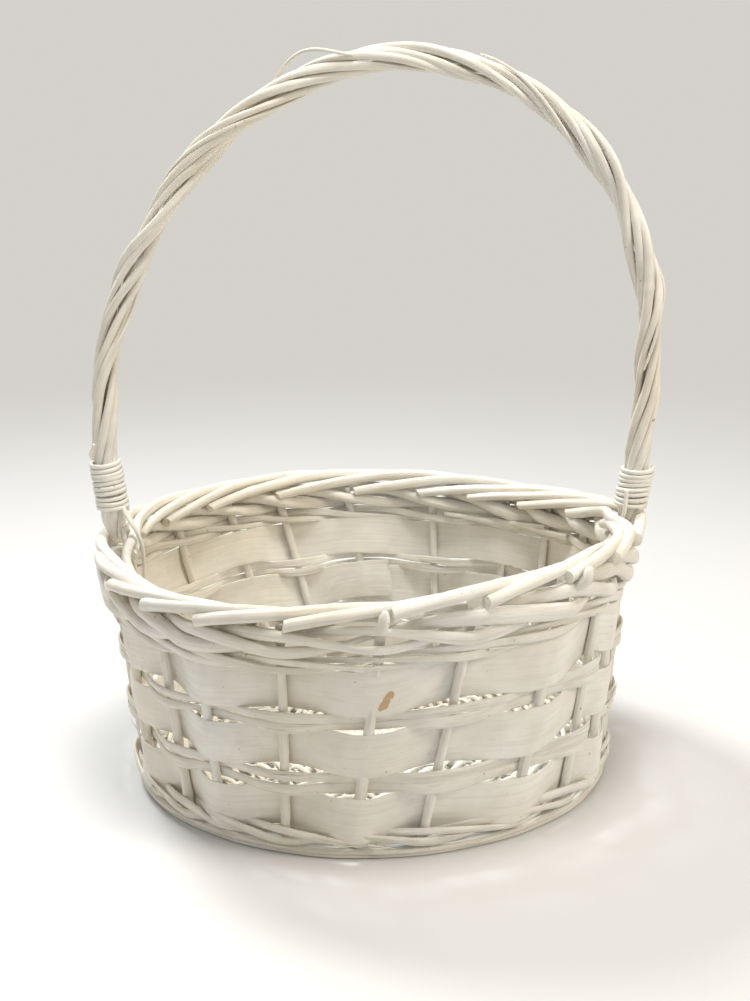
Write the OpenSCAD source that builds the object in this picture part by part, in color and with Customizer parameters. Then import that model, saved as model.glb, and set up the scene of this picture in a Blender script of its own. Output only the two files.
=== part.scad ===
// Round woven market basket with a fixed hoop handle.
// Upright stakes carry three wood-chip bands, paired split-willow courses and
// rod wales; short rods laid like scales close the border, and six twisted
// rods make the handle. Millimetres, +Z up, front towards -Y, floor at Z = 0.

/* [Body] */
// Radius of the ring of stakes at the floor
foot_r = 142; // [136:0.5:150]
// Outward lean of the wall, mm of radius for each mm of height
flare = 0.095; // [0.05:0.005:0.13]
// Diameter of an upright stake
stake_d = 5.5; // [4.5:0.1:6]
// How far the hand-laid stakes stray from even spacing, 0 to 1
stray = 1; // [0:0.1:1]
// Where the ring of stakes is centred in X, with the lopsided handle above it
centre_x = -4.5; // [-6:0.5:-3]
// How strongly the border rises to the right and dips to the left, 0 to 1
unevenness = 1; // [0:0.1:1]
// How much lower the border sits along the back
back_drop = 8; // [0:0.5:12]

/* [Bands] */
// Height of a wood-chip band
band_h = 27.5; // [22:0.5:28]
// Thickness of a wood-chip band
band_t = 1.2; // [0.8:0.1:1.4]
// Height of the middle of the lowest band
band_1_z = 25.5; // [25:0.5:27]
// Height of the middle of the middle band
band_2_z = 65.5; // [65:0.5:67]
// Height of the middle of the top band
band_3_z = 102; // [101.5:0.5:103]
// How far a band dips outside a stake and climbs behind the next
band_dip = 2.2; // [0:0.1:2.5]

/* [Weaving] */
// Thickness of a paired strand, measured through the wall
pair_t = 2.2; // [1.6:0.1:2.6]
// Diameter of the thick wale rods
wale_d = 7.2; // [6:0.1:7.4]
// Height of a thin wale strand
thin_d = 4.6; // [3.6:0.1:4.8]

/* [Border] */
// Number of short border rods
border_rods = 20; // [18:1:21]
// Diameter of a border rod at its butt
border_d = 8; // [6.6:0.1:8]
// Angle that one border rod spans
border_span = 58; // [52:1:60]

/* [Handle] */
// Diameter of one handle rod
rod_d = 5; // [4:0.1:5.1]
// Length of arch in which the twist makes one full turn
twist_pitch = 165; // [140:5:400]
// Diameter of the binding cane
cane_d = 2.8; // [2:0.1:2.8]
// Turns of the left binding
left_turns = 10; // [6:1:10]
// Turns of the right binding
right_turns = 8; // [5:1:8]

/* [Hidden] */
willow = "#ddd8cb";
chip = "#e4dfd2";
cane = "#e9e5da";
sides = 6;                 // corners of a rod's cross-section
steps = 4;                 // sections of a strand between two stakes
gap = 0.05;                // clearance left between strands and stakes

// Drift of each stake from even spacing, in degrees, as the weaver set them.
drift = [-0.5, 0.1, 6.8, 6.9, 2.5, 2.2, 1.8, 1, -0.4, -3.8, -1.1,
         2.3, 2.6, 0.3, 1.9, 6.5, 1.2, -3.2, -1.5, 0.1, -4.6, -2.3];
stakes = len(drift);
mid_z = 75;                // height at which the stakes have these angles
stake_top = 140;
foot_z = 7.5;              // height of the base sticks and the stakes' feet
foot_in = 126;             // radius at which a stake's foot ends
stick_out = 136;           // radius at which a base stick ends
stick_d = 5;

function wall_r(z) = foot_r + flare * z;
function out(a) = [sin(a), -cos(a), 0];
function mix(a, b, t) = a + (b - a) * t;
function ease(t) = (1 - cos(180 * t)) / 2;
function unit(v) = v / norm(v);
function clamp(t) = max(0, min(1, t));

// The stakes fan out: each leans sideways by an amount that depends on where
// it stands round the basket.
function lean(a) = tan(5 + 8 * cos(2 * (a - 35)));
function even(i) = i * 360 / stakes + stray * drift[i % stakes];
function stake_a(i, z) =
    even(i) + stray * lean(even(i)) * (z - mid_z) / wall_r(z) * 180 / PI;
function between(n, z) =
    mix(stake_a(floor(n), z), stake_a(floor(n) + 1, z), n - floor(n));

// The wall is drawn up more on the right than on the left, a stretch that
// starts above the lowest band and is complete at the border.
function smooth(t) = let (u = clamp(t)) u * u * (3 - 2 * u);
function rise(a) = unevenness * (4 * sin(a) + 4.2 * sin(2 * a) - back_drop * smooth(-cos(a) / 0.8));
function share(z) = pow(clamp((z - 40) / 105), 1.3);
function lifted(a, r, z) =
    let (o = out(a)) [r * o.x, r * o.y, z + rise(a) * share(z)];

function oval(w, h, n = sides) =
    [for (j = [0 : n - 1]) [w / 2 * cos(360 * j / n), h / 2 * sin(360 * j / n)]];
function oblong(w, h) =
    [[w / 2, -h / 2], [w / 2, h / 2], [-w / 2, h / 2], [-w / 2, -h / 2]];

// A solid from a row of equal rings of points.
module skin(rings) {
    k = len(rings[0]);
    last = len(rings) - 1;
    polyhedron(
        points = [for (ring = rings) each ring],
        faces = concat(
            [[for (j = [k - 1 : -1 : 0]) j]],
            [for (i = [0 : last - 1], j = [0 : k - 1])
                [i * k + j, i * k + (j + 1) % k,
                 (i + 1) * k + (j + 1) % k, (i + 1) * k + j]],
            [[for (j = [0 : k - 1]) last * k + j]]));
}

// A ring of the section, square to the path at point i; up is a side direction.
function ring_on(path, i, up, section) =
    let (last = len(path) - 1,
         t = unit(path[min(i + 1, last)] - path[max(i - 1, 0)]),
         v = unit(up - t * (up * t)),
         u = cross(t, v))
    [for (q = section) path[i] + q.x * u + q.y * v];

// A strand in the wall. n counts stakes round the basket, dr and dz are its
// offsets from the line of stakes, and section its outline.
function wall_ring(n, z, dr, dz, section) =
    [for (q = section)
        let (h = z + dz + q.y)
        lifted(between(n, h), wall_r(h) + dr + q.x, h)];

// Reads a repeating row of values given at half-stake steps.
function beat(row, n) =
    let (h = n * 2, i = floor(h), m = len(row))
    mix(row[i % m], row[(i + 1) % m], ease(h - i));

// Outside an even stake is +1 and outside an odd one is -1.
function weave(n) = cos(180 * n);

// ---- stakes -------------------------------------------------------------

module stake(i) {
    a0 = stake_a(i, foot_z);
    a1 = stake_a(i, stake_top);
    foot = out(a0) * wall_r(foot_z) + [0, 0, foot_z];
    top = out(a1) * wall_r(stake_top) + [0, 0, stake_top + rise(a1)];
    rod_between(foot, top, stake_d);
    rod_between(out(a0) * foot_in + [0, 0, foot_z], foot, stake_d);
    translate(foot) sphere(d = stake_d + 0.4, $fn = 24);
}

module rod_between(a, b, d) {
    v = b - a;
    translate(a)
        rotate([0, acos(v.z / norm(v)), atan2(v.y, v.x)])
            cylinder(h = norm(v), d = d, $fn = 24);
}

// ---- wood-chip bands ----------------------------------------------------

// A band runs once round from its inner end and laps itself on the outside.
// Outside a stake its lower edge may stand off by a skirt, over a wale.
module band(z, start, lap, skirt = 0) {
    turn = band_t + gap;
    hold = stake_d / 2 + band_t / 2 + gap;
    count = (stakes + lap) * steps;
    color(chip) skin([for (i = [0 : count])
        let (n = start + i / steps, w = weave(n), low = skirt * max(0, w))
        wall_ring(n, z, w * hold + turn * (i / steps / stakes - 1), -band_dip * w,
                  [for (q = oblong(band_t, band_h)) [q.x + (q.y < 0 ? low : 0), q.y]])]);
}
module band_1() band(band_1_z, 5.5, 1.5, 2.6);
module band_2() band(band_2_z, 10.6, 1.5);
module band_3() band(band_3_z, 15.5, 1.5);

// ---- paired split-willow courses ----------------------------------------

// Two strands, one on the other, full in front of the odd stakes and narrow
// behind the even ones.
module pair_course(z, waist, swell_out, swell_in) {
    hold = stake_d / 2 + pair_t / 2 + gap;
    color(willow) for (side = [-1, 1])
        skin([for (i = [0 : stakes * steps - 1])
            let (n = 8.5 + side + i / steps,
                 w = weave(n),
                 h = (waist + max(0, -w) * swell_out + max(0, w) * swell_in) / 2)
            wall_ring(n, z, -w * hold, side * h / 2,
                      oblong(pair_t, h - gap * 4))]);
}
module pair_1() pair_course(45.5, 11.8, 2.4, -1);
module pair_2() pair_course(83.8, 8.5, 3.9, 0.9);

// ---- wales --------------------------------------------------------------

// Three strands go round one after the other: each passes outside two stakes
// and behind one, so their ends meet in step.
module wale(z, w, h, rise_h, section) {
    a = stake_d / 2 + w / 2 + gap;
    dr = [-a, 0, a, a, a, 0];
    dz = [0, h / 2 + gap * 2, rise_h, 0, -rise_h, -h / 2 - gap * 2];
    color(willow) for (k = [0 : 2])
        skin([for (i = [0 : stakes * steps - 1])
            let (n = stakes * k + i / steps)
            wall_ring(n, z, beat(dr, n), beat(dz, n), section)]);
}
module top_wale()
    wale(133.2, wale_d - 0.9, wale_d, 4.6, oval(wale_d - 0.9, wale_d));
module lower_wale()
    wale(120.8, 2.6, thin_d, 2.5, oblong(1.75, thin_d - 0.7));

foot_ring_h = 4.8;
module foot_wale() {
    wale(12.4, 3, 5.2, 3.1, oblong(2.6, 4.4));
    color(willow) rotate_extrude($fn = 96)
        translate([foot_r - 2.6, 0])
            intersection() {
                translate([3.6, 1.2]) circle(d = 7.2, $fn = 24);
                square([7.2, foot_ring_h - 0.3]);
            }
}

// ---- base ---------------------------------------------------------------

// Eleven sticks, five threaded through six, opened out into 22 spokes.
module base_stick(i, side) {
    reach = 24;
    cross_a = i < 6 ? 0 : 90;
    place = (i < 6 ? i - 2.5 : 8 - i) * (stick_d + 0.3);
    ends = [for (s = [0, 1])
        let (a = stake_a(side + s * stakes / 2, foot_z) - 3,
             way = out(cross_a + 180 * s),
             beside = out(cross_a + 90) * place)
        [out(a) * stick_out, out(a) * reach * 1.7, beside + way * reach]];
    path = [for (q = [ends[0][0], ends[0][1], ends[0][2],
                      ends[1][2], ends[1][1], ends[1][0]])
        q + [0, 0, foot_z]];
    skin([for (j = [0 : 5]) ring_on(path, j, [0, 0, 1], oval(stick_d, stick_d))]);
}
module base_sticks()
    color(willow) for (i = [0 : 10])
        base_stick(i, i < 6 ? i - 3 + stakes : 13 - i);

// The base strands pass over and under the sticks: a ridged layer on each side.
module base_weave() {
    ridge = 5;
    first = 30;
    rounds = 21;
    layer = 2.2;
    color(willow) for (side = [-1, 1])
        translate([0, 0, foot_z + side * (stick_d / 2 + gap * 2 + 0.25)])
            rotate_extrude($fn = 96) {
                translate([first, side > 0 ? 0 : -layer])
                    square([ridge * (rounds - 1), layer]);
                for (i = [0 : rounds - 1])
                    translate([first + ridge * i, side * layer / 2])
                        circle(d = layer * 1.25, $fn = 16);
            }
}

// ---- border -------------------------------------------------------------

// A short rod starts outside the wale, climbs over the stakes and ends inside.
// Beside a handle leg it swells out or in to let the leg pass.
function leg_r(a) = sin(a) > 0 ? leg_right.x : -leg_left.x;
function near_leg(a) = exp(-pow((abs(sin(a)) < 1 ? acos(abs(sin(a))) : 0) / 7.5, 2));
function border_point(a, u) =
    let (r = mix(163, 147, ease(u)),
         clear = handle_r * 0.72 + border_d / 2 + 0.3,
         part = leg_r(a) + (u < 0.5 ? clear : -clear))
    lifted(a, mix(r, part, near_leg(a)),
           144.6 + 6.8 * sin(180 * pow(u, 0.85)) - 4 * u * u);

module border_rod(j) {
    cuts = 10;
    start = 3 + j * 360 / border_rods;
    path = [for (i = [0 : cuts])
        border_point(start + border_span * i / cuts, i / cuts)];
    color(willow) skin([for (i = [0 : cuts])
        let (d = border_d - i / cuts)
        ring_on(path, i, [0, 0, 1], oval(d, d))]);
}

// ---- handle -------------------------------------------------------------

// The middle line of the arch, [x, z]: slightly lopsided, as it was bent.
arch = [[-153, 146], [-156.4, 176], [-157.2, 206], [-153, 258], [-136, 308],
        [-101, 364], [-54, 405], [2, 426], [60, 423], [112, 397], [149, 352],
        [167, 292], [169, 240], [165.6, 206], [162.6, 176], [157, 146]];
leg_left = [arch[0].x, 0, arch[0].y];
leg_right = [arch[len(arch) - 1].x, 0, arch[len(arch) - 1].y];
twist_r = rod_d + 0.1;             // six rods round an open middle
handle_r = twist_r + rod_d / 2;

function knot(i) = arch[max(0, min(len(arch) - 1, i))];
function curve(s) =
    let (i = min(floor(s), len(arch) - 2), t = s - i,
         a = knot(i - 1), b = knot(i), c = knot(i + 1), d = knot(i + 2),
         q = (b * 2 + (c - a) * t + (a * 2 - b * 5 + c * 4 - d) * t * t
              + (b * 3 - a - c * 3 + d) * t * t * t) / 2)
    [q.x, 0, q.y];

arch_steps = 76;
line = [for (i = [0 : arch_steps]) curve(i * (len(arch) - 1) / arch_steps)];
along = [for (i = 0, s = 0; i <= arch_steps;
              s = s + (i < arch_steps ? norm(line[i + 1] - line[i]) : 0),
              i = i + 1) s];
function line_way(i) =
    unit(line[min(i + 1, arch_steps)] - line[max(i - 1, 0)]);

// The bundle narrows where it is pushed down into the border.
function pinch(i) = i == 0 || i == arch_steps ? 0.6 : 1;
module handle_rod(k) {
    path = [for (i = [0 : arch_steps])
        let (t = line_way(i), y = [0, 1, 0], n = cross(t, y),
             a = 60 * k - 360 * along[i] / twist_pitch)
        line[i] + twist_r * pinch(i) * (cos(a) * n + sin(a) * y)];
    color(willow) skin([for (i = [0 : arch_steps])
        let (d = rod_d * pinch(i))
        ring_on(path, i, [0, 1, 0], oval(d, d, 5))]);
}

// A cane wound round the leg between two heights.
module binding(low, high, turns, leg_a, leg_b) {
    cuts = 10;
    r = handle_r + cane_d / 2 + 0.1;
    path = [for (i = [0 : turns * cuts])
        let (t = i / turns / cuts, z = mix(low, high, t),
             c = mix(leg_a, leg_b, (z - leg_a.y) / (leg_b.y - leg_a.y)),
             a = 360 * i / cuts)
        [c.x + r * cos(a), r * sin(a), z]];
    color(cane) skin([for (i = [0 : turns * cuts])
        ring_on(path, i, [0, 0, 1], oval(cane_d, cane_d, 5))]);
}
module left_binding()
    binding(164, 194, left_turns, arch[0], arch[1]);
module right_binding()
    binding(160, 184, right_turns, arch[len(arch) - 1], arch[len(arch) - 2]);

// ---- the assembly -------------------------------------------------------

function two(i) = str(i < 10 ? "0" : "", i);

translate([centre_x, 0, 0]) {
    for (i = [1 : stakes])
        color(willow) stake(i - 1);
    for (i = [1 : border_rods])
        border_rod(i - 1);
    for (i = [1 : 6])
        handle_rod(i - 1);
    band_1();
    band_2();
    band_3();
    pair_1();
    pair_2();
    lower_wale();
    top_wale();
    foot_wale();
    base_sticks();
    base_weave();
    left_binding();
    right_binding();
}
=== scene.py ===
"""A round woven market basket, painted white, with a tall twisted hoop handle.

Stakes, wood-chip bands, paired split-willow courses, rod wales, a border of
short rods, the handle and its bindings are each rebuilt as separate strands on
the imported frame. Sizes here are millimetres until a mesh is made, but metres
for the table, the lights and the camera.
"""

import bpy
import numpy as np
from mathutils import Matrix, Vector


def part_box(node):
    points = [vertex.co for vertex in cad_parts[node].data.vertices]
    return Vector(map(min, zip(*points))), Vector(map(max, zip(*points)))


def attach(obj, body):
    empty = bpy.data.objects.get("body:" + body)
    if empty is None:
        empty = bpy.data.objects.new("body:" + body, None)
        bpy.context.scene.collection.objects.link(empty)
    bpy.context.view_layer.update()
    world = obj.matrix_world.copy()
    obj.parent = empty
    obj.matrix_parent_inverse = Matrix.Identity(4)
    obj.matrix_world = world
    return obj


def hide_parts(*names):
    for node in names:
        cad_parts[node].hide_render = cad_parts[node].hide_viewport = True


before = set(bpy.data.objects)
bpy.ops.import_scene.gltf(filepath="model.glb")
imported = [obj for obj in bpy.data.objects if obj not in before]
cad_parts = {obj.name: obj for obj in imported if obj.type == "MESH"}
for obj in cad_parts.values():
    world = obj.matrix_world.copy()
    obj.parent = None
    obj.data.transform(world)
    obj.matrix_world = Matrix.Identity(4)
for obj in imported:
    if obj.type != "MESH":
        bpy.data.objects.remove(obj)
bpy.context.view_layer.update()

MM = 0.001

# ---- the basket's main sizes ----------------------------------------------
# How far each stake strays from even spacing, in degrees.
DRIFT = np.array([-0.5, 0.1, 6.8, 6.9, 2.5, 2.2, 1.8, 1, -0.4, -3.8, -1.1,
                  2.3, 2.6, 0.3, 1.9, 6.5, 1.2, -3.2, -1.5, 0.1, -4.6, -2.3])
STAKES = len(DRIFT)
CENTRE_X = -4.5  # the ring of stakes stands left of the origin
PITCH = 42.0  # from one stake to the next along the wall, roughly
FOOT_R, FLARE, MID_Z = 142.0, 0.095, 75.0
STAKE_D, STAKE_TOP, FOOT_Z, FOOT_IN = 5.5, 140.0, 7.5, 126.0
BAND_H, BAND_T = 27.5, 1.2
BAND_Z = {"band_1": 25.5, "band_2": 65.5, "band_3": 102.0}
BAND_DIP, BAND_SKIRT = 2.2, {"band_1": 2.6}
# Height on the wall, waist, and how much it swells outside and inside the stakes.
PAIRS = {"pair_1": (45.5, 12.0, 2.6, 0.8), "pair_2": (83.8, 9.2, 3.7, 2.6)}
TOP_WALE_Z, LOWER_WALE_Z, FOOT_WALE_Z = 133.6, 120.8, 12.4
BORDER_RODS, BORDER_SPAN, BORDER_D, BACK_DROP = 20, 58.0, 7.0, 8.0
BORDER_OUT, BORDER_IN, BORDER_Z, BORDER_ARCH, BORDER_L = 163, 147, 144.6, 6.8, 150
TIPS = (0, 2)  # the stakes whose trimmed tips stand in front of the border
TIP_RISE, TIP_OUT = 12.5, 12.5
GAP = 0.05  # between a strand and the stake it bears on
ROD_D, TWIST_PITCH, CANE_D = 5.0, 165.0, 2.8
# The handle's middle line, x and z, from the left leg to the right one.
ARCH = np.array([
    [-153, 146], [-156.4, 176], [-157.2, 206], [-153, 258], [-136, 308],
    [-101, 364], [-54, 405], [2, 426], [60, 423], [112, 397], [149, 352],
    [167, 292], [169, 240], [165.6, 206], [162.6, 176], [157, 146]], float)


def rad(a):
    """Degrees to radians."""
    return np.radians(a)


def wall_r(z):
    """The radius of the ring of stakes at a height."""
    return FOOT_R + FLARE * z


def out(a):
    """The level direction outward at angle a, which is 0 at the front."""
    return np.stack([np.sin(rad(a)), -np.cos(rad(a)), 0 * a], -1)


def even(i):
    """The angle where stake i crosses the middle of the wall."""
    return i * 360 / STAKES + DRIFT[np.mod(i, STAKES)]


def lean(a):
    """How much a stake leans to one side there, as a slope."""
    return np.tan(rad(5 + 8 * np.cos(rad(2 * (a - 35)))))


def stake_a(i, z):
    """The angle of stake i at a height."""
    return even(i) + np.degrees(lean(even(i)) * (z - MID_Z) / wall_r(z))


def between(n, z):
    """The angle at stake number n, which may lie between two stakes."""
    i = np.floor(n).astype(int)
    f = n - i
    return (1 - f) * stake_a(i, z) + f * stake_a(i + 1, z)


def lifted(a, r, z):
    """A point of the wall after the border's uneven rise has stretched it."""
    back = np.clip(-np.cos(rad(a)) / 0.8, 0, 1)
    rise = 4 * np.sin(rad(a)) + 4.2 * np.sin(rad(2 * a)) - BACK_DROP * back * back * (3 - 2 * back)
    share = np.clip((z - 40) / 105, 0, 1) ** 1.3
    return np.stack([r * np.sin(rad(a)), -r * np.cos(rad(a)), z + rise * share], -1)


# ---- small helpers --------------------------------------------------------
def ease(t):
    """0 to 1, slow at both ends."""
    return (1 - np.cos(np.pi * np.clip(t, 0, 1))) / 2


def run_of(path):
    """The distance along a path, up to each of its points."""
    return np.concatenate([[0], np.cumsum(np.linalg.norm(np.diff(path, axis=0), axis=1))])


def waves(seed, s, lengths, sizes):
    """A smooth random line along s: one sine of each length and size."""
    rng = np.random.default_rng(seed)
    total = np.zeros_like(np.asarray(s, float))
    for length, size in zip(lengths, sizes):
        total = total + size * np.sin(2 * np.pi * (s / length + rng.random()))
    return total


def beat(row, n):
    """Reads a repeating row of values, given at half-stake steps, smoothly."""
    i = np.floor(n * 2).astype(int)
    row, m, t = np.array(row, float), len(row), n * 2 - i
    a, b, c, d = (row[(i + k) % m] for k in (-1, 0, 1, 2))
    return b + (c - a) * t / 2 + (a - 2.5 * b + 2 * c - d / 2) * t ** 2 \
        + (1.5 * (b - c) + (d - a) / 2) * t ** 3


def weave(n):
    """+1 outside an even stake, -1 outside an odd one."""
    return np.cos(np.pi * n)


def round_profile(count=14, seed=0, rough=0.04):
    """A slightly uneven circle of radius 1."""
    a = np.arange(count) * 2 * np.pi / count
    rng = np.random.default_rng(seed)
    r = 1 + rough * (np.cos(2 * a + rng.random() * 6) + 0.6 * np.cos(3 * a + rng.random() * 6))
    return np.stack([np.cos(a) * r, np.sin(a) * r], -1)


def flat_profile(count=16, e=0.55):
    """A rounded rectangle of half side 1."""
    a = np.arange(count) * 2 * np.pi / count
    c, s = np.cos(a), np.sin(a)
    return np.stack([np.sign(c) * np.abs(c) ** e, np.sign(s) * np.abs(s) ** e], -1)


def split_profile(count=16):
    """A willow rod split in two: flat towards the basket, round outside."""
    a = np.arange(count) * 2 * np.pi / count
    c, s = np.cos(a), np.sin(a)
    x = np.where(c > 0, c, -0.55 * np.abs(c) ** 0.5)
    return np.stack([x, np.sign(s) * np.abs(s) ** 0.8], -1)


def chip_profile(rows=11):
    """The long thin section of a shaved wood chip, with softened edges."""
    y = np.sin(np.linspace(-1, 1, rows) * np.pi / 2 * 0.98)
    y = np.concatenate([[-1], y * 0.985, [1]])
    x = np.ones(rows + 2)
    x[[0, -1]] = 0.0
    x[[1, -2]] = 0.8
    outer = np.stack([x, y], -1)
    inner = np.stack([-x, y], -1)[::-1][1:-1]
    return np.concatenate([outer, inner])


class Skin:
    """Gathers swept strands and turns them into one mesh."""

    def __init__(self):
        self.points, self.faces, self.grain, self.marks = [], [], [], []
        self.count = 0

    def add(self, rings, local, seed, bare=None, cut=0.35, closed=False):
        """rings: N sections of K points; local: the same points in the strand's
        own section, which the grain of the material follows."""
        N, K = rings.shape[:2]
        mid = rings.mean(1)
        along = run_of(mid)
        grain = np.empty((N, K, 3))
        grain[..., 0] = along[:, None] + 977.0 * seed  # no two strands share their grain
        grain[..., 1:] = local
        marks = np.zeros((N, K)) if bare is None else bare
        rows = [rings]
        grains, mark = [grain], [marks]
        if not closed:  # each end is a slightly proud cut face
            for end, side in ((0, 1), (N - 1, -1)):
                way = mid[end] - mid[end + side]
                way = way / max(np.linalg.norm(way), 1e-9)
                size = np.linalg.norm(rings[end] - mid[end], axis=1).mean()
                for shrink, push in ((0.72, cut * size * 0.55), (0.3, cut * size)):
                    rows.append((mid[end] + (rings[end] - mid[end]) * shrink + way * push)[None])
                    g = grain[end].copy()
                    g[:, 1:] *= shrink
                    g[:, 0] += 3.0
                    grains.append(g[None])
                    mark.append(np.full((1, K), 0.22))
        base = self.count
        j = np.arange(K)
        nxt = (j + 1) % K
        for i in range(N if closed else N - 1):
            a, b = base + i * K, base + ((i + 1) % N) * K
            self.faces += np.stack([a + j, b + j, b + nxt, a + nxt], -1).tolist()
        if not closed:
            for which, (ring, first) in enumerate(((0, N), (N - 1, N + 2))):
                chain = [base + ring * K, base + first * K, base + (first + 1) * K]
                for a, b in zip(chain, chain[1:]):
                    quad = [b + j, a + j, a + nxt, b + nxt]
                    quad = quad if which == 0 else quad[::-1]
                    self.faces += np.stack(quad, -1).tolist()
                last = (chain[-1] + j).tolist()
                self.faces.append(last if which == 0 else last[::-1])
        for store, part in ((self.points, rows), (self.grain, grains), (self.marks, mark)):
            store.append(np.concatenate([p.reshape(-1, *p.shape[2:]) for p in part]))
        self.count += len(self.points[-1])

    def piece(self, name, material, *nodes):
        """Makes the mesh object, which rides on the root and stands for the nodes."""
        mesh = bpy.data.meshes.new(name)
        points = np.concatenate(self.points) + (CENTRE_X, 0, 0)
        mesh.from_pydata((points * MM).tolist(), [], self.faces)
        mesh.attributes.new("grain", "FLOAT_VECTOR", "POINT").data.foreach_set(
            "vector", (np.concatenate(self.grain) * MM).ravel())
        mesh.attributes.new("bare", "FLOAT", "POINT").data.foreach_set(
            "value", np.concatenate(self.marks).ravel())
        mesh.shade_smooth()
        mesh.set_sharp_from_angle(angle=rad(48))
        mesh.materials.append(material)
        obj = bpy.data.objects.new(name, mesh)
        bpy.context.scene.collection.objects.link(obj)
        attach(obj, "root")
        if nodes:
            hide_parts(*nodes)
        return obj


def sweep(path, up, profile, width, height, turn=0.0):
    """Rings of the profile square to a path. width runs sideways, height along
    up. Returns the rings and the same points in the section's own plane."""
    path = np.asarray(path, float)
    t = np.gradient(path, axis=0)
    t /= np.linalg.norm(t, axis=1)[:, None]
    up = np.broadcast_to(np.asarray(up, float), path.shape)
    v = up - t * (up * t).sum(1)[:, None]
    v /= np.linalg.norm(v, axis=1)[:, None]
    u = np.cross(t, v)
    N = len(path)
    w = np.broadcast_to(width, (N,))[:, None] / 2
    h = np.broadcast_to(height, (N,))[:, None] / 2
    a = np.broadcast_to(rad(turn), (N,))[:, None]
    prof = np.broadcast_to(profile, (N,) + profile.shape[-2:])
    x, y = prof[..., 0] * w, prof[..., 1] * h
    x, y = x * np.cos(a) - y * np.sin(a), x * np.sin(a) + y * np.cos(a)
    rings = path[:, None] + x[..., None] * u[:, None] + y[..., None] * v[:, None]
    return rings, np.stack([x, y], -1)


def wall_strand(n, z, dr, dz, profile, width, height, turn=0.0):
    """Rings of a strand woven in the wall. n counts stakes round the basket."""
    N = len(n)
    w = np.broadcast_to(width, (N,)).astype(float)
    h = np.broadcast_to(height, (N,))[:, None] / 2
    dr = np.broadcast_to(dr, (N,))
    arc = n * 2 * np.pi * wall_r(z) / STAKES
    w = (w * np.sqrt(1 + np.gradient(dr, arc) ** 2))[:, None] / 2
    a = np.broadcast_to(rad(turn), (N,))[:, None]
    prof = np.broadcast_to(profile, (N,) + profile.shape[-2:])
    x, y = prof[..., 0] * w, prof[..., 1] * h
    x, y = x * np.cos(a) - y * np.sin(a), x * np.sin(a) + y * np.cos(a)
    height_at = z + np.broadcast_to(dz, (N,))[:, None] + y
    turn_at = between(np.broadcast_to(n[:, None], y.shape), height_at)
    rings = lifted(turn_at, wall_r(height_at) + dr[:, None] + x, height_at)
    return rings, np.stack([x, y], -1)


def ends(t, length, total, low=0.5):
    """1 along a strand, easing down to low over length at both ends."""
    to_end = np.minimum(t, total - t)
    return low + (1 - low) * ease(to_end / length)


def knots(seed, s, count, size=0.14, length=2.2):
    """Swellings where side shoots were trimmed off a rod."""
    rng = np.random.default_rng(seed + 5000)
    total = np.zeros_like(s)
    for place in rng.uniform(s[0], s[-1], count):
        total += size * np.exp(-((s - place) / length) ** 2)
    return total


# ---- materials ------------------------------------------------------------
class Tree:
    """A short way to write a material's nodes."""

    def __init__(self, name):
        self.material = bpy.data.materials.new(name)
        self.material.use_nodes = True
        self.nodes = self.material.node_tree.nodes
        self.links = self.material.node_tree.links
        self.shader = self.nodes["Principled BSDF"]

    def add(self, kind, inputs=None, **settings):
        node = self.nodes.new(kind)
        for key, value in settings.items():
            setattr(node, key, value)
        for key, value in (inputs or {}).items():
            self.put(node.inputs[key], value)
        return node

    def put(self, socket, value):
        if isinstance(value, bpy.types.NodeSocket):
            self.links.new(value, socket)
        else:
            socket.default_value = value

    def math(self, operation, a, b=0.0, clamp=False):
        node = self.add("ShaderNodeMath", operation=operation, use_clamp=clamp)
        self.put(node.inputs[0], a)
        self.put(node.inputs[1], b)
        return node.outputs[0]

    def blend(self, factor, a, b, mode="MIX"):
        node = self.add("ShaderNodeMix", data_type="RGBA", blend_type=mode)
        self.put(node.inputs[0], factor)
        self.put(node.inputs[6], a)
        self.put(node.inputs[7], b)
        return node.outputs[2]

    def noise(self, vector, scale, detail=3.0, roughness=0.5):
        return self.add("ShaderNodeTexNoise", {"Vector": vector, "Scale": scale,
                                               "Detail": detail, "Roughness": roughness}).outputs["Fac"]

    def between(self, value, low, high, to_low=0.0, to_high=1.0, kind="SMOOTHSTEP"):
        return self.add("ShaderNodeMapRange", {
            "Value": value, "From Min": low, "From Max": high,
            "To Min": to_low, "To Max": to_high}, interpolation_type=kind).outputs[0]


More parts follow.
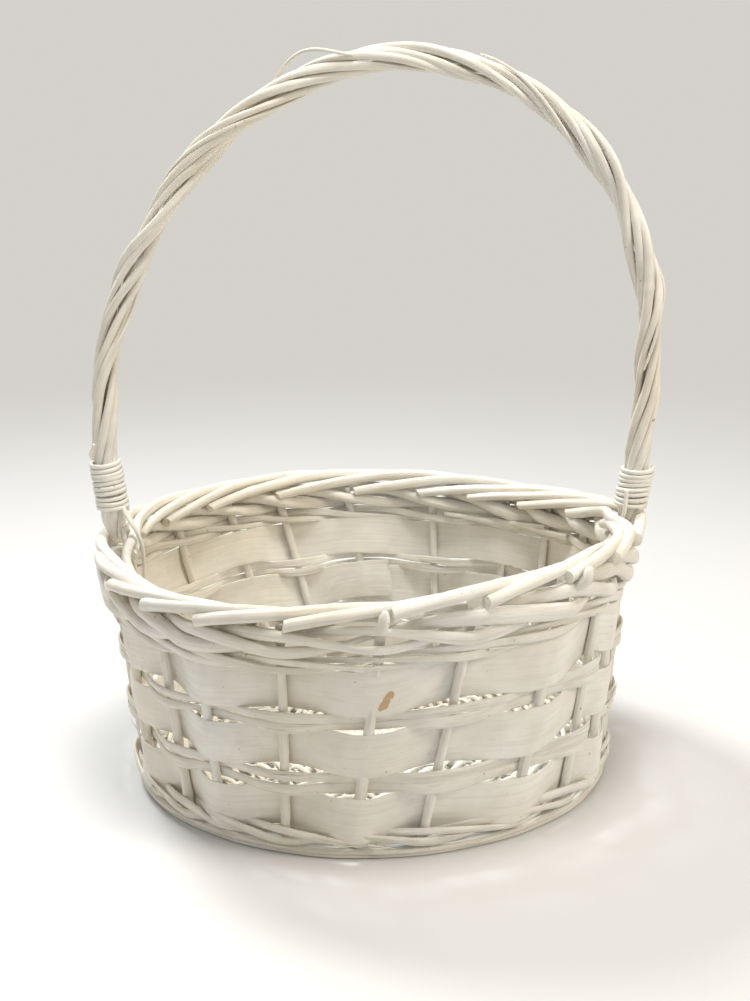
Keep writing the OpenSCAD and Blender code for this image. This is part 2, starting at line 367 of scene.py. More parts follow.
def painted(name, paint, wear, streak, bump, rough, grain_scale=(60, 900, 900)):
    """Wood under a thin coat of white paint: the grain telegraphs through it, dirt
    sits in the low streaks, and bare wood shows at knocks and cut ends. wear is
    the level where bare wood begins, streak and bump how strongly the grain shows."""
    t = Tree(name)
    grain = t.add("ShaderNodeAttribute", attribute_name="grain").outputs["Vector"]
    bare = t.add("ShaderNodeAttribute", attribute_name="bare").outputs["Fac"]
    place = t.add("ShaderNodeTexCoord").outputs["Object"]
    stretched = t.add("ShaderNodeMapping", {"Vector": grain, "Scale": grain_scale}).outputs[0]
    long_grain = t.add("ShaderNodeMapping", {"Vector": grain, "Scale": (9, 420, 420)}).outputs[0]
    fine = t.noise(stretched, 1.0, 4.0, 0.62)
    broad = t.noise(long_grain, 1.0, 2.0, 0.5)
    mottle = t.noise(grain, 38.0, 3.0, 0.55)
    room = t.noise(place, 7.0, 2.0, 0.5)
    knock = t.noise(grain, 260.0, 3.0, 0.7)

    deep = t.between(fine, 0.30, 0.50, 1.0, 0.0)
    line = t.between(broad, 0.36, 0.47, 1.0, 0.0)
    shade = t.math("MULTIPLY", t.math("MAXIMUM", deep, t.math("MULTIPLY", line, 0.8)), streak)
    paint_dark = tuple(c * k for c, k in zip(paint, (0.70, 0.665, 0.60)))
    paint_warm = tuple(c * k for c, k in zip(paint, (1.0, 0.968, 0.90)))
    paint_cool = tuple(min(c * k, 0.92) for c, k in zip(paint, (1.04, 1.05, 1.07)))
    base = t.blend(t.between(room, 0.35, 0.65), (*paint_warm, 1), (*paint_cool, 1))
    base = t.blend(t.between(mottle, 0.35, 0.7, 0.0, 0.32), base, (*paint_dark, 1))
    base = t.blend(shade, base, (*paint_dark, 1))
    wood = t.blend(fine, (0.44, 0.29, 0.16, 1), (0.66, 0.48, 0.30, 1))
    spots = t.between(t.math("ADD", knock, t.math("MULTIPLY", bare, 1.0)), wear, wear + 0.05)
    base = t.blend(spots, base, wood)
    nick = t.between(t.noise(grain, 330.0, 2.0, 0.5), 0.73, 0.78, 0.0, 0.7)
    base = t.blend(nick, base, (0.20, 0.15, 0.10, 1))
    t.links.new(base, t.shader.inputs["Base Color"])
    worn = t.math("MAXIMUM", spots, t.math("MULTIPLY", shade, 0.5))
    t.links.new(t.between(worn, 0.0, 1.0, rough, rough + 0.25, "LINEAR"), t.shader.inputs["Roughness"])
    relief = t.math("SUBTRACT", t.math("MULTIPLY", fine, 0.7), t.math("MULTIPLY", spots, 0.5))
    relief = t.math("ADD", relief, t.math("MULTIPLY", broad, 0.9))
    relief = t.math("ADD", relief, t.math("MULTIPLY", mottle, 0.35))
    normal = t.add("ShaderNodeBump", {"Height": relief, "Strength": bump, "Distance": 0.0006})
    t.links.new(normal.outputs[0], t.shader.inputs["Normal"])
    t.shader.inputs["Specular IOR Level"].default_value = 0.42
    return t.material


WILLOW = painted("painted_willow", (0.80, 0.775, 0.715), 0.86, 0.42, 0.55, 0.46)
SPLIT = painted("painted_split_willow", (0.79, 0.765, 0.70), 0.85, 0.55, 0.75, 0.52)
CHIP = painted("painted_chip", (0.81, 0.785, 0.725), 0.90, 0.22, 0.35, 0.44, (40, 520, 520))
CANE = painted("painted_cane", (0.83, 0.81, 0.755), 0.90, 0.28, 0.4, 0.42)


# ---- stakes ---------------------------------------------------------------
def stake(i):
    """A willow upright: bent out of the base, thinner upward, cut at the top."""
    foot_a, top_a = stake_a(i, FOOT_Z), stake_a(i, STAKE_TOP)
    rise = TIP_RISE if i in TIPS else 2.5 if i % 3 == 0 else 0  # a few are cut longer
    foot = lifted(foot_a, wall_r(FOOT_Z), FOOT_Z)
    top = lifted(top_a, wall_r(STAKE_TOP), STAKE_TOP)
    way = (top - foot) / np.linalg.norm(top - foot)
    top = top + way * rise
    bend = 4.0  # where the foot turns up into the wall
    run_in = foot + out(foot_a) * (FOOT_IN - wall_r(FOOT_Z))
    run_out, up_from = foot - out(foot_a) * bend, foot + way * bend
    k = np.linspace(0, 1, 7)[1:-1, None]
    run = run_in * (1 - k) + run_out * k
    corner = run_out * (1 - k) ** 2 + 2 * foot * k * (1 - k) + up_from * k ** 2
    t = np.linspace(0, 1, 46)[:, None]
    path = np.concatenate([run_in[None], run, corner, up_from * (1 - t) + top * t])
    s = run_of(path)
    side = np.cross(way, out(foot_a))
    bow = waves(i, s, (150, 61), (0.35, 0.15)) * np.clip((s - 20) / 30, 0, 1)
    path = path + side * bow[:, None]
    d = STAKE_D * (1.0 - 0.06 * s / s[-1]) * (1 + waves(i + 40, s, (37, 90), (0.02, 0.03)))
    d = d * (1 + knots(i, s, 2))
    if i in TIPS:  # bent out over the wale and trimmed to a point
        wale_top = lifted(top_a, 0, STAKE_TOP)[2] - 4
        path = path + out(top_a) * TIP_OUT * ease((path[:, 2:] - wale_top) / 9)
        d = d * (1.2 - 0.55 * np.clip((s - s[-1] + 2.5) / 2.5, 0, 1) ** 2)
    skin = Skin()
    turn_up = np.clip((s - 12) / 10, 0, 1)[:, None]
    up = np.array([0, 0, 1.0]) * (1 - turn_up) - out(foot_a) * turn_up
    rings, local = sweep(path, up, round_profile(14, i), d, d)
    skin.add(rings, local, i)
    return skin


for i in range(STAKES):
    stake(i).piece(f"stake_{i + 1:02d}_willow", WILLOW, f"stake_{i + 1:02d}")


# ---- wood-chip bands ------------------------------------------------------
def band(name, seed, start, lap, chip_at=None, sprung=0.0, crease=None):
    """A shaved ribbon with a slight cup, uneven edges and square-cut lapped ends.
    start counts stakes, lap is how far its two ends overlap, chip_at and crease
    place a knocked-off spot and a fold."""
    z, per = BAND_Z[name], 26
    n = np.linspace(start, start + STAKES + lap, int((STAKES + lap) * per))
    along = (n - start) * 2 * np.pi * wall_r(z) / STAKES
    turn = BAND_T + GAP
    hold = STAKE_D / 2 + BAND_T / 2 + GAP
    progress = (n - start) / STAKES
    w = weave(n)
    arc = 41.0  # one stake to the next, at the top band
    # The chip bends over each stake and runs nearly straight between them.
    straight = 1 - 2 * np.abs(n - 2 * np.round(n / 2))
    dr = (0.55 * w + 0.45 * straight) * hold
    dr = dr + turn * (progress - 1) + waves(seed, along, (75, 33), (0.14, 0.07))
    prof = chip_profile()
    N, K = len(n), len(prof)
    y = np.broadcast_to(prof[:, 1], (N, K)) * BAND_H / 2
    x = prof[:, 0] * BAND_T / 2 * (0.86 + 0.1 * waves(seed + 1, along, (140, 60), (0.6, 0.4))[:, None])
    edge_up = waves(seed + 2, along, (210, 66, 19, 7), (0.45, 0.30, 0.14, 0.06)) - 0.35
    edge_low = waves(seed + 3, along, (180, 71, 23, 6), (0.45, 0.30, 0.14, 0.06)) + 0.35
    if name == "band_3":  # it fills up to the wale over the even stakes
        edge_up = edge_up + 1.2 * np.clip(w, 0, 1)
    share = (prof[:, 1] + 1) / 2
    y = y + edge_up[:, None] * share + edge_low[:, None] * (1 - share)
    rng = np.random.default_rng(seed + 9)
    for place in rng.uniform(start + 0.5, n[-1] - 0.5, 18):  # nicks in the edges
        depth, half = rng.uniform(0.5, 1.4), rng.uniform(0.02, 0.06)
        notch = depth * np.clip(1 - np.abs(n - place) / half, 0, 1)
        if rng.random() < 0.5:
            y = y - notch[:, None] * np.clip((prof[:, 1] - 0.8) / 0.2, 0, 1)
        else:
            y = y + notch[:, None] * np.clip((-prof[:, 1] - 0.8) / 0.2, 0, 1)
    # It cups over the stakes it passes outside, and its edges lie in.
    cup = 0.45 + 0.75 * np.clip(w, 0, 1)[:, None]
    bulge = cup * (1 - (y / (BAND_H / 2)) ** 2) - 0.35
    bulge = bulge + 0.25 * np.sin(y / 5.0 + waves(seed + 4, along, (160, 47), (1.2, 0.8))[:, None])
    skirt = BAND_SKIRT.get(name, 0) * np.clip(w, 0, 1)[:, None]
    bulge = bulge + skirt * np.clip(0.1 - y / 12, 0, 1) ** 1.5
    bare = np.zeros((N, K))
    z_at = z + y - BAND_DIP * w[:, None]
    if sprung:  # the inner lap's end has sprung away and up
        lift = np.clip(1 - (n - start) / 1.5, 0, 1) ** 1.3
        z_at = z_at + sprung * lift[:, None]
        dr = dr - 4.5 * lift
    if crease:
        c_n, slope, depth = crease
        line = (n[:, None] - c_n) * arc - y * slope
        fold = 1 / (1 + np.exp(np.clip(-line / 0.3, -30, 30))) - 1
        bulge = bulge + depth * fold * np.exp(-np.clip(-line, 0, None) / 26)
    if chip_at:
        c_n, c_z = chip_at
        u = (n[:, None] - c_n) * arc - 1.1 * np.sin((y - c_z) / 2.4)
        bare = np.exp(-(u / 2.9) ** 2 - ((y - c_z) / 6.6) ** 4) * 0.8 * (prof[:, 0] >= 0)
    a = between(np.broadcast_to(n[:, None], (N, K)), z_at)
    rings = lifted(a, wall_r(z_at) + dr[:, None] + bulge + x, z_at)
    skin = Skin()
    skin.add(rings, np.stack([bulge + x, y], -1), seed, bare, cut=0.02)
    skin.piece(f"{name}_chip", CHIP, name)


band("band_1", 11, 5.5, 1.5)
band("band_2", 12, 10.6, 1.5, sprung=6.5)
band("band_3", 13, 15.5, 1.5, chip_at=(22.16, -3.5), crease=(22.93, 0.48, 1.0))


# ---- paired split-willow courses ------------------------------------------
def splinter(skin, n, z, dr, length, lift, climb, seed, d=1.5):
    """A fibre that has broken out of a strand and stands off it, thin at its tip."""
    f = np.linspace(0, 1, 14)
    rings, local = wall_strand(n + length * f, z, dr + lift * f ** 1.6, climb * f ** 1.3,
                               round_profile(8, seed, 0.1), d * (1 - 0.85 * f), d * (1.2 - 1.0 * f))
    skin.add(rings, local, seed)


def pair_course(seed, z, waist, swell_out, swell_in):
    """Two split rods, one on the other: full outside the odd stakes, pinched
    behind the even ones, where their edges leave slits of light."""
    skin = Skin()
    for side in (-1, 1):
        start = 8.45 + side
        n = np.linspace(start, start + STAKES + 0.7, STAKES * 16)
        along = (n - start) * PITCH
        total = along[-1]
        w = weave(n)
        back = np.clip(1.5 - np.abs(np.mod(n, STAKES) - STAKES / 2) / 4, 0, 1)  # 1 at the back
        full = waist + swell_out * np.clip(-w, 0, 1) ** 0.8 + swell_in * np.clip(w, 0, 1) + 1.0 * back
        share = 0.5 + waves(seed + side, along, (330, 131), (0.05, 0.04))
        h = full * share
        h = h * (1 + waves(seed + 2 * side + 7, along, (88, 35), (0.06, 0.04)))
        mid = side * (full / 2 - h / 2) + side * 0.1
        mid = mid + waves(seed + 3 + side, along, (260, 97), (0.3, 0.2))
        mid = mid - 1.0 * np.clip(w, 0, 1) - 0.2 * back
        tips = ends(along, 26, total, 0.4)
        thick = (2.2 + 0.3 * waves(seed + 5 + side, along, (120, 52), (0.6, 0.4))) * tips
        hold = STAKE_D / 2 + thick / 2 + GAP
        dr = -np.sign(w) * np.abs(w) ** 0.9 * hold
        lap = np.clip((n - start - STAKES + 0.3) / 0.5, 0, 1)
        turn = waves(seed + 11 + side, along, (170, 63), (4, 3)) - side * 5 * (1 - w) / 2
        rings, local = wall_strand(n, z, dr - lap * 1.8, mid, split_profile(), thick,
                                   h * 1.02 * tips, turn)
        skin.add(rings, local, seed + side)
        # A long shaving that has lifted along the strand here and there.
        rng = np.random.default_rng(seed * 7 + side)
        for place in rng.uniform(start + 1, start + 20, 5):
            m = np.linspace(place, place + rng.uniform(0.7, 1.3), 26)
            f = (m - m[0]) / (m[-1] - m[0])
            offset = np.interp(m, n, mid) + side * np.interp(m, n, h) * rng.uniform(-0.2, 0.25)
            out_r = -weave(m) * (STAKE_D / 2 + 2.3) + 0.35 * np.sin(np.pi * f)
            rings, local = wall_strand(m, z, out_r, offset + 1.2 * (f - 0.5) * rng.uniform(-1, 1),
                                       flat_profile(8), 0.5, 1.6 * np.sin(np.pi * f) ** 0.6 + 0.25)
            skin.add(rings, local, seed + 31 + place)
    return skin


for k, (name, course) in enumerate(PAIRS.items()):
    skin = pair_course(21 + 5 * k, *course)
    if name == "pair_1":  # broken fibres at the two sides
        for place, way in ((17.9, -1), (18.05, -1), (4.45, 1), (4.6, 1), (4.2, 1)):
            splinter(skin, place, course[0] + 4 * way, 4.2, 0.35 * way, 1.8, 3.5, int(place * 100), 1.2)
    skin.piece(f"{name}_split_willow", SPLIT, name)


# ---- wales ----------------------------------------------------------------
def wale(seed, z, width, height, rise_h, profile, spread, thin):
    """Three rods go round in turn, each outside two stakes and behind the third.
    A rod lies rise_h above the middle at the first stake it passes outside, and
    as far below it at the second."""
    skin = Skin()
    a = STAKE_D / 2 + width / 2 + GAP
    row_r = [-a, 0, a, a, a, 0]
    row_z = [0, height / 2 + 0.1, rise_h, 0, -rise_h, -height / 2 - 0.1]
    for k in range(3):
        first = STAKES * k
        n = np.linspace(first - 0.12, first + STAKES - 0.02, STAKES * 16)
        along = (n - first) * PITCH
        dr = beat(row_r, n) + waves(seed + k, along, (140, 58), (0.12, 0.1)) * width / 6
        dz = beat(row_z, n) + waves(seed + 10 + k, along, (210, 83), (spread, spread * 0.6))
        d = 1 + waves(seed + 20 + k, along, (420, 150, 47), (thin, thin * 0.6, thin * 0.35))
        d = d * ends(along + 6, 60, along[-1] + 12, 0.55) * (1 + knots(seed + k, along, 5, 0.06, 4))
        turn = waves(seed + 30 + k, along, (190, 71), (9, 6))
        rings, local = wall_strand(n, z, dr, dz, profile, width * d, height * d, turn)
        skin.add(rings, local, seed + k)
    return skin


upper = wale(41, TOP_WALE_Z, 7.0, 9.4, 5.3, round_profile(20, 4, 0.04), 0.35, 0.11)
upper.piece("top_wale_willow", WILLOW, "top_wale")
lower = wale(51, LOWER_WALE_Z - 1.0, 2.3, 5.0, 2.6, flat_profile(16, 0.7), 0.3, 0.12)
for place, height, tilt in ((7.3, 1.5, 1.0), (7.9, 4.6, -1.6), (8.5, 1.0, 2.0)):  # sprung inner ends
    f = np.linspace(0, 1, 22)
    dr = -5.6 - 1.2 * np.sin(np.pi * f)
    rings, local = wall_strand(place + 1.3 * f, LOWER_WALE_Z, dr, height + tilt * f,
                               flat_profile(10), 1.4, 4.6 - 1.4 * f)
    lower.add(rings, local, int(place * 10), cut=0.02)
for k, place in enumerate(np.random.default_rng(5).uniform(0, STAKES, 7)):
    splinter(lower, place, LOWER_WALE_Z - 2, 4.8, 0.35, 1.6, -2.5, 700 + k, 1.1)
lower.piece("lower_wale_split", SPLIT, "lower_wale")


def foot_wale():
    """The thin wale at the foot, and the two rings the basket stands on."""
    skin = wale(61, FOOT_WALE_Z, 2.9, 4.9, 3.1, split_profile(14), 0.7, 0.2)
    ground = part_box("foot_wale")[0][2] / MM
    a = np.linspace(0, 360, 361)[:-1]
    s = a / 360 * 2 * np.pi * FOOT_R
    rings_at = ((FOOT_R + 1.2, 0.0, 2.6, 5.2), (FOOT_R + 2.4, 2.2, 5.2, 4.2))
    for j, (r, low, high, w) in enumerate(rings_at):
        prof = flat_profile(14, 0.7)
        h = np.full_like(s, high - low)
        mid = np.full_like(s, ground + (low + high) / 2)
        if j:  # the lower ring stays level, to stand on
            h = h + waves(70 + j, s, (s[-1] / 5, s[-1] / 13), (0.2, 0.2))
            mid = mid + waves(80 + j, s, (s[-1] / 4, s[-1] / 9), (0.3, 0.2))
        x = prof[:, 0] * w / 2
        y = prof[:, 1] * h[:, None] / 2
        rr = r + waves(90 + j, s, (s[-1] / 6, s[-1] / 17), (0.3, 0.25))[:, None] + x
        zz = mid[:, None] + y
        rings = np.stack([rr * np.sin(rad(a))[:, None], -rr * np.cos(rad(a))[:, None], zz], -1)
        skin.add(rings, np.stack([np.broadcast_to(x, y.shape), y], -1), 60 + j, closed=True)
    for k, place in enumerate(np.random.default_rng(6).uniform(0, STAKES, 16)):
        splinter(skin, place, FOOT_WALE_Z - 3 + k % 4, 5.0, 0.4, 2.2, k % 3 - 1.5, 720 + k, 1.2)
    return skin


foot_wale().piece("foot_wale_willow", SPLIT, "foot_wale")


# ---- base -----------------------------------------------------------------
BASE_OUT, SLATH, STICK_D, CROWN = 136.0, 24.0, 5.0, 5.0
SPOKE_OFF = 3  # degrees from a stake to the spoke beside it


def crown(r):
    """How far the base is domed up towards its middle."""
    return CROWN * (1 - (r / BASE_OUT) ** 2)


def base_sticks():
    """Eleven sticks, six across and five through, opened out into spokes."""
    skin = Skin()
    for i in range(11):
        cross = 0 if i < 6 else 90
        place = (i - 2.5 if i < 6 else 8 - i) * (STICK_D + 0.3)
        first = (i - 3) % STAKES if i < 6 else 13 - i  # the stake beside its first end
        beside = out(cross + 90.0) * place
        halves = []
        for half in (0, 1):
            a = stake_a(first + half * STAKES // 2, FOOT_Z) - SPOKE_OFF
            knee = beside + out(cross + 180.0 * half) * SLATH
            tip = out(a) * BASE_OUT
            t = np.linspace(0, 1, 24)[:, None]
            bend = out(a) * SLATH * 1.7
            halves.append(knee * (1 - t) ** 2 + 2 * bend * t * (1 - t) + tip * t ** 2)
        path = np.concatenate([halves[0][::-1], halves[1]])
        path[:, 2] = FOOT_Z + crown(np.linalg.norm(path[:, :2], axis=1))
        s = run_of(path)
        d = STICK_D * (0.92 + 0.1 * np.sin(np.pi * s / s[-1]))
        d = d * (1 + waves(i, s, (61, 33), (0.02, 0.02)))
        rings, local = sweep(path, (0, 0, 1), round_profile(12, i), d, d)
        skin.add(rings, local, 100 + i)
    return skin


def base_weave():
    """Rounds of thin rods that pass over one stick and under the next."""
    skin = Skin()
    rounds = np.arange(27.5, 137.5, 4.25)
    for k, r in enumerate(rounds):
        n = np.linspace(0, STAKES, STAKES * 8 + 1)[:-1]
        a = between(n + 1e-6, FOOT_Z + 0 * n) - SPOKE_OFF
        lap = (STICK_D / 2 + 1.5) * np.cos(np.pi * (n + k))
        rr = r + waves(200 + k, n * 10, (220, 110), (0.35, 0.2))
        mid = FOOT_Z + crown(r) + lap + waves(240 + k, n * 10, (220, 73.333), (0.2, 0.15))
        d = 3.5 * (1 + waves(280 + k, n * 10, (220, 55), (0.06, 0.05)))[:, None] / 2
        prof = round_profile(9, k)
        x, y = prof[:, 0] * d, prof[:, 1] * d * 0.86
        rings = np.stack([(rr[:, None] + x) * np.sin(rad(a))[:, None],
                          -(rr[:, None] + x) * np.cos(rad(a))[:, None], mid[:, None] + y], -1)
        skin.add(rings, np.stack([x, y], -1), 200 + k, closed=True)
    return skin


base_sticks().piece("base_sticks_willow", WILLOW, "base_sticks")
base_weave().piece("base_weave_willow", WILLOW, "base_weave")


# ---- handle line ----------------------------------------------------------
def curve(points, count):
    """A smooth line through the points, evenly spaced along its length."""
    p = np.concatenate([[points[0]], points, [points[-1]]])
    rows = []
    for i in range(1, len(p) - 2):
        t = np.linspace(0, 1, 40, endpoint=False)[:, None]
        a, b, c, d = p[i - 1:i + 3]
        rows.append((2 * b + (c - a) * t + (2 * a - 5 * b + 4 * c - d) * t ** 2
                     + (3 * b - a - 3 * c + d) * t ** 3) / 2)
    line = np.concatenate([*rows, points[-1:]])
    s = run_of(line)
    at = np.linspace(0, s[-1], count)
    return np.stack([np.interp(at, s, line[:, k]) for k in range(line.shape[1])], -1), at


ARCH_LINE, ARCH_S = curve(np.insert(ARCH, 1, 0, axis=1), 420)
TWIST_R = ROD_D + 0.1
HANDLE_R = TWIST_R + ROD_D / 2
LEG_LEFT, LEG_RIGHT = -ARCH[0, 0], ARCH[-1, 0]


def on_handle(s, phase, radius):
    """Points beside the handle's middle line, on the twist that starts at phase,
    and the direction in which each stands off the line."""
    p = np.stack([np.interp(s, ARCH_S, ARCH_LINE[:, k]) for k in range(3)], -1)
    ahead = np.stack([np.interp(s + 1, ARCH_S, ARCH_LINE[:, k]) for k in range(3)], -1)
    behind = np.stack([np.interp(s - 1, ARCH_S, ARCH_LINE[:, k]) for k in range(3)], -1)
    t = ahead - behind
    t /= np.linalg.norm(t, axis=1)[:, None]
    y = np.array([0, 1.0, 0])
    side = np.cross(t, y)
    a = rad(phase - 360 * s / TWIST_PITCH)[:, None]
    r = np.broadcast_to(radius, s.shape)[:, None]
    radial = np.cos(a) * side + np.sin(a) * y
    return p + r * radial, radial


# ---- border ---------------------------------------------------------------
# How far each rod's butt is moved round from even spacing, and how much it is lifted.
BORDER_SHIFT = {0: 1.5, 1: 1.6, 2: 3.5, 3: 1.6, 14: 1, 15: 2, 16: 4, 17: 1, 18: -2, 19: -1}
BORDER_LIFT = {0: 3.6, 1: 2.0, 2: 2.2, 3: 1.0}


def border_rod(j):
    """A short stout rod: its butt outside, then up over the stakes and in."""
    start = 3 + j * 360 / BORDER_RODS + BORDER_SHIFT.get(j, 0)
    u = np.linspace(0, 1.0, 60)
    a = start + BORDER_SPAN * u * (1 + 0.06 * np.sin(j * 5.1))
    s = u * BORDER_L
    r = BORDER_OUT + (BORDER_IN - BORDER_OUT) * ease(u)
    leg = np.where(np.sin(rad(a)) > 0, LEG_RIGHT, LEG_LEFT)
    clear = HANDLE_R * 0.72 + BORDER_D / 2 + 0.1
    off_leg = np.degrees(np.arccos(np.clip(np.abs(np.sin(rad(a))), 0, 1)))
    part = leg + (clear if u[np.argmin(off_leg)] < 0.45 else -clear)  # it passes one side of the leg
    near = np.exp(-(off_leg / 10) ** 2)  # within about 10 degrees of the leg
    r = r * (1 - near) + part * near + waves(300 + j, s, (120, 60), (0.35, 0.2))
    z = BORDER_Z + BORDER_ARCH * np.sin(np.pi * u ** 0.85) - 4 * u * u
    z = z + BORDER_LIFT.get(j, 0) * (1 - ease(u / 0.6))
    z = z + waves(320 + j, s, (150, 70), (0.4, 0.25))
    z = z - 1.5 * np.clip(-np.cos(rad(a)), 0, 1)  # it sits down on the wale at the back
    path = lifted(a, r, z)
    d = (BORDER_D + 0.4 - 1.6 * u) * (1 + waves(340 + j, s, (110, 42), (0.03, 0.02)))
    d = d * (1 + knots(340 + j, s, 1, 0.08, 4))
    rings, local = sweep(path, (0, 0, 1), round_profile(20, 60 + j, 0.045), d, d)
    slant = 0.35 + 0.25 * np.sin(j * 2.4)  # the ends are cut at an angle
    for end in (0, -1):
        t = np.gradient(path, axis=0)[end]
        t /= np.linalg.norm(t)
        for back in range(4):
            row = back if end == 0 else -1 - back
            lean_by = (rings[row] - rings[row].mean(0)) @ (out(a[end]) * 0.6 + np.array([0, 0, 0.8]))
            rings[row] += t * (lean_by * slant * (1 - back / 4))[:, None]
    skin = Skin()
    skin.add(rings, local, 400 + j, cut=0.1)
    return skin


for j in range(BORDER_RODS):
    border_rod(j).piece(f"border_rod_{j + 1:02d}_willow", WILLOW, f"border_rod_{j + 1:02d}")


# ---- handle ---------------------------------------------------------------
def tail(skin, points, d, seed, end_size=0.7):
    """A loose end that follows the points and thins towards its tip."""
    path, s = curve(np.array(points, float), 40)
    size = d * (1 - (1 - end_size) * s / s[-1])
    skin.add(*sweep(path, (0, 0.2, 1), round_profile(10, seed, 0.05), size, size), seed)


HANDLE_RODS = (  # diameter, flatness, how far it strays, how proud it stands
    (5.6, 1.00, 0.5, 0.7), (4.6, 1.20, 0.6, -0.6), (5.8, 0.92, 0.5, 0.5),
    (4.4, 1.00, 0.7, 1.1), (5.6, 0.95, 0.5, -0.5), (4.2, 1.25, 0.5, 0.6))


def handle_rod(k):
    """One rod of the twist, from the left leg over the top to the right one."""
    d0, flat, stray, proud = HANDLE_RODS[k]
    s = ARCH_S
    free = np.clip(np.minimum(s - 55, s[-1] - 50 - s) / 60, 0, 1)  # held by the bindings
    r = TWIST_R + free * (proud + waves(500 + k, s, (310, 120, 61), (stray, stray * 0.8, stray * 0.5)))
    wander = free * waves(520 + k, s, (420, 170, 75), (10, 7, 4))
    pinch = 0.6 + 0.4 * ease(np.minimum(s, s[-1] - s) / 15)  # where it enters the border
    path, radial = on_handle(s, 60.0 * k + wander, r * pinch)
    d = d0 * pinch * (1 + waves(540 + k, s, (260, 90, 34), (0.05, 0.03, 0.015)))
    d = d * (1 + knots(560 + k, s, 6, 0.12, 3))
    rings, local = sweep(path, radial, round_profile(16, 80 + k, 0.06), d * flat, d / flat)
    skin = Skin()
    skin.add(rings, local, 500 + k)
    return skin


def loose_strand(first, last, phase, lift, d, taper=0.5):
    """A thin strand that lies in a groove of the twist and stands off it between."""
    s = np.linspace(first, last, 90)
    f = (s - first) / (last - first)
    r = TWIST_R + ROD_D / 2 + d * 0.25 + lift * np.sin(np.pi * f) ** 1.4
    path, radial = on_handle(s, phase, r)
    size = d * (taper + (1 - taper) * np.sin(np.pi * f) ** 0.5)
    return sweep(path, radial, round_profile(10, int(first), 0.06), size * 1.15, size)


for k in range(len(HANDLE_RODS)):
    skin = handle_rod(k)
    if k == 0:  # a springy strand at the top left, and one lying in a groove below it
        top = ARCH_S[np.argmin(np.abs(ARCH_LINE[:, 0] + 26))]
        skin.add(*loose_strand(top - 27, top + 25, 360 * top / TWIST_PITCH, 6.5, 2.2), 590)
        skin.add(*loose_strand(96, 330, 140, 0.1, 2.6, 0.3), 591)
    if k == 3:  # the same on the right side
        skin.add(*loose_strand(420, 640, 200, 0.1, 2.8, 0.3), 592)
        skin.add(*loose_strand(568, 612, 360 * 590 / TWIST_PITCH, 2.6, 1.3, 0.25), 593)
    if k in (1, 4):  # the thin end is pushed down inside the left wall
        y = 9.0 if k == 1 else -8.5
        tail(skin, [(-148.5, y * 0.5, 153), (-146.5, y, 134), (-142.5, y * 1.1, 106)], 3.3, 594 + k)
    skin.piece(f"handle_rod_{k + 1}_willow", WILLOW, f"handle_rod_{k + 1}")


# ---- bindings -------------------------------------------------------------
def binding(seed, low, high, turns, leg_a, leg_b, tilt):
    """Turns of split cane round a leg, which runs from leg_a to leg_b."""
    t = np.linspace(0, 1, turns * 30 + 1)
    a = 360.0 * turns * t
    z = low + (high - low) * t + waves(seed, t * turns, (2.7, 1.12, 0.87), (0.2, 0.45, 0.35))
    c = leg_a[0] + (leg_b[0] - leg_a[0]) * (z - leg_a[1]) / (leg_b[1] - leg_a[1])
    r = HANDLE_R + CANE_D / 2 - 0.15 + waves(seed + 1, t * turns, (1.0, 0.5, 3.1), (0.25, 0.3, 0.15))
    x, y = r * np.cos(rad(a)), r * np.sin(rad(a))
    path = np.stack([c + x, y, z + tilt * x], -1)
    d = CANE_D * (1 + waves(seed + 2, t * turns, (1.7, 0.8), (0.05, 0.04)))
    rings, local = sweep(path, (0, 0, 1), flat_profile(12, 0.8), d * 0.92, d)
    skin = Skin()
    skin.add(rings, local, seed)
    return skin


left = binding(601, 164, 194, 10, ARCH[0], ARCH[1], 0.03)
tail(left, [(-165, -3, 196), (-166, -4, 199), (-164.5, -6, 203), (-163, -7, 206)], 2.4, 611)
tail(left, [(-148, -6, 166), (-144, -8, 158), (-140, -7, 150), (-137.5, -5, 138),
            (-138, -3, 118)], 3.0, 612)
left.piece("left_binding_cane", CANE, "left_binding")
right = binding(602, 160, 184, 8, ARCH[-1], ARCH[-2], -0.05)
tail(right, [(156.5, -9.4, 172), (155.5, -9.6, 160), (153, -9.2, 150), (150.5, -8, 138)], 2.8, 613)
right.piece("right_binding_cane", CANE, "right_binding")


# ---- floor, light and camera ----------------------------------------------
BACKDROP = (0.66, 0.64, 0.60)  # the pale room, as the camera sees it
ROOM_COLOUR, ROOM_LIGHT = (0.94, 0.92, 0.89), 0.52  # the same room, as it lights the basket
TABLE, FADE_FROM, FADE_TO = 60.0, 0.2, 1.3  # metres from the basket's middle
TABLE_COLD, TABLE_WARM = (0.62, 0.622, 0.625), (0.67, 0.665, 0.655)
LIGHT_AIM = (0, 0, 0.1)
CAMERA_AT, LENS = (0.0062 + CENTRE_X * MM, -1.050, 0.460), 64.4
LOOK_DOWN, LOOK_LEFT, ROLL = 15.64, 0.088, -1.07  # degrees


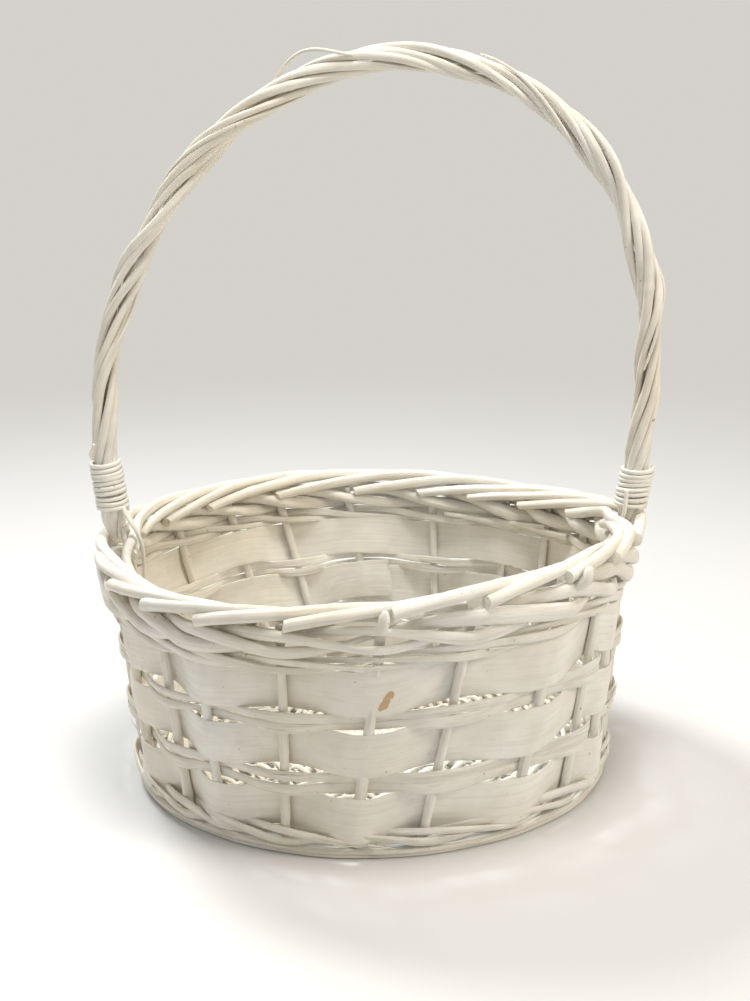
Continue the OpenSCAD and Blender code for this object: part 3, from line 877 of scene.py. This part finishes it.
def floor():
    """The table, which fades with distance into the pale room."""
    mesh = bpy.data.meshes.new("table")
    mesh.from_pydata([(x * TABLE, y * TABLE, 0) for x, y in ((-1, -1), (1, -1), (1, 1), (-1, 1))],
                     [], [(0, 1, 2, 3)])
    t = Tree("white_table")
    place = t.add("ShaderNodeTexCoord").outputs["Object"]
    cloud = t.noise(place, 2.5, 3.0)
    near = t.blend(cloud, (*TABLE_COLD, 1), (*TABLE_WARM, 1))
    away = t.add("ShaderNodeVectorMath", {0: place}, operation="LENGTH").outputs["Value"]
    t.links.new(near, t.shader.inputs["Base Color"])
    t.shader.inputs["Roughness"].default_value = 0.55
    glow = t.add("ShaderNodeEmission", {"Color": (*BACKDROP, 1)})
    far = t.between(away, FADE_FROM, FADE_TO)
    join = t.add("ShaderNodeMixShader", {0: far, 1: t.shader.outputs[0], 2: glow.outputs[0]})
    t.links.new(join.outputs[0], t.nodes["Material Output"].inputs["Surface"])
    mesh.materials.append(t.material)
    obj = bpy.data.objects.new("table", mesh)
    bpy.context.scene.collection.objects.link(obj)


def area(name, place, size, power, colour):
    """A round soft light that shines at the middle of the basket."""
    light = bpy.data.lights.new(name, "AREA")
    light.shape, light.size, light.energy, light.color = "DISK", size, power, colour
    obj = bpy.data.objects.new(name, light)
    bpy.context.scene.collection.objects.link(obj)
    obj.location = place
    way = Vector(LIGHT_AIM) - Vector(place)
    obj.rotation_euler = way.to_track_quat("-Z", "Y").to_euler()


def camera():
    """Looks down on the basket from the front, very slightly rolled."""
    data = bpy.data.cameras.new("camera")
    data.sensor_fit, data.sensor_height = "VERTICAL", 36.0
    data.lens = LENS
    obj = bpy.data.objects.new("camera", data)
    bpy.context.scene.collection.objects.link(obj)
    obj.location = CAMERA_AT
    obj.rotation_euler = (rad(90 - LOOK_DOWN), 0, rad(LOOK_LEFT))
    obj.rotation_euler.rotate_axis("Z", rad(ROLL))
    bpy.context.scene.camera = obj


def room():
    """A pale even room: one brightness lights the basket, the camera sees another."""
    world = bpy.data.worlds.new("pale_room")
    world.use_nodes = True
    nodes, links = world.node_tree.nodes, world.node_tree.links
    lit = nodes["Background"]
    lit.inputs[0].default_value = (*ROOM_COLOUR, 1)
    lit.inputs[1].default_value = ROOM_LIGHT
    seen = nodes.new("ShaderNodeBackground")
    seen.inputs[0].default_value = (*BACKDROP, 1)
    ray = nodes.new("ShaderNodeLightPath")
    choose = nodes.new("ShaderNodeMixShader")
    links.new(ray.outputs["Is Camera Ray"], choose.inputs[0])
    links.new(lit.outputs[0], choose.inputs[1])
    links.new(seen.outputs[0], choose.inputs[2])
    links.new(choose.outputs[0], nodes["World Output"].inputs["Surface"])
    bpy.context.scene.world = world


floor()
room()
bpy.context.scene.view_settings.view_transform = "Standard"
area("window", (-0.75, 0.95, 1.5), 0.45, 26, (0.95, 0.98, 1.0))
area("lamp", (1.5, -0.6, 1.0), 0.6, 11, (1.0, 0.88, 0.70))
area("overhead", (0.12, -0.28, 1.9), 0.6, 22, (1.0, 0.97, 0.92))
camera()
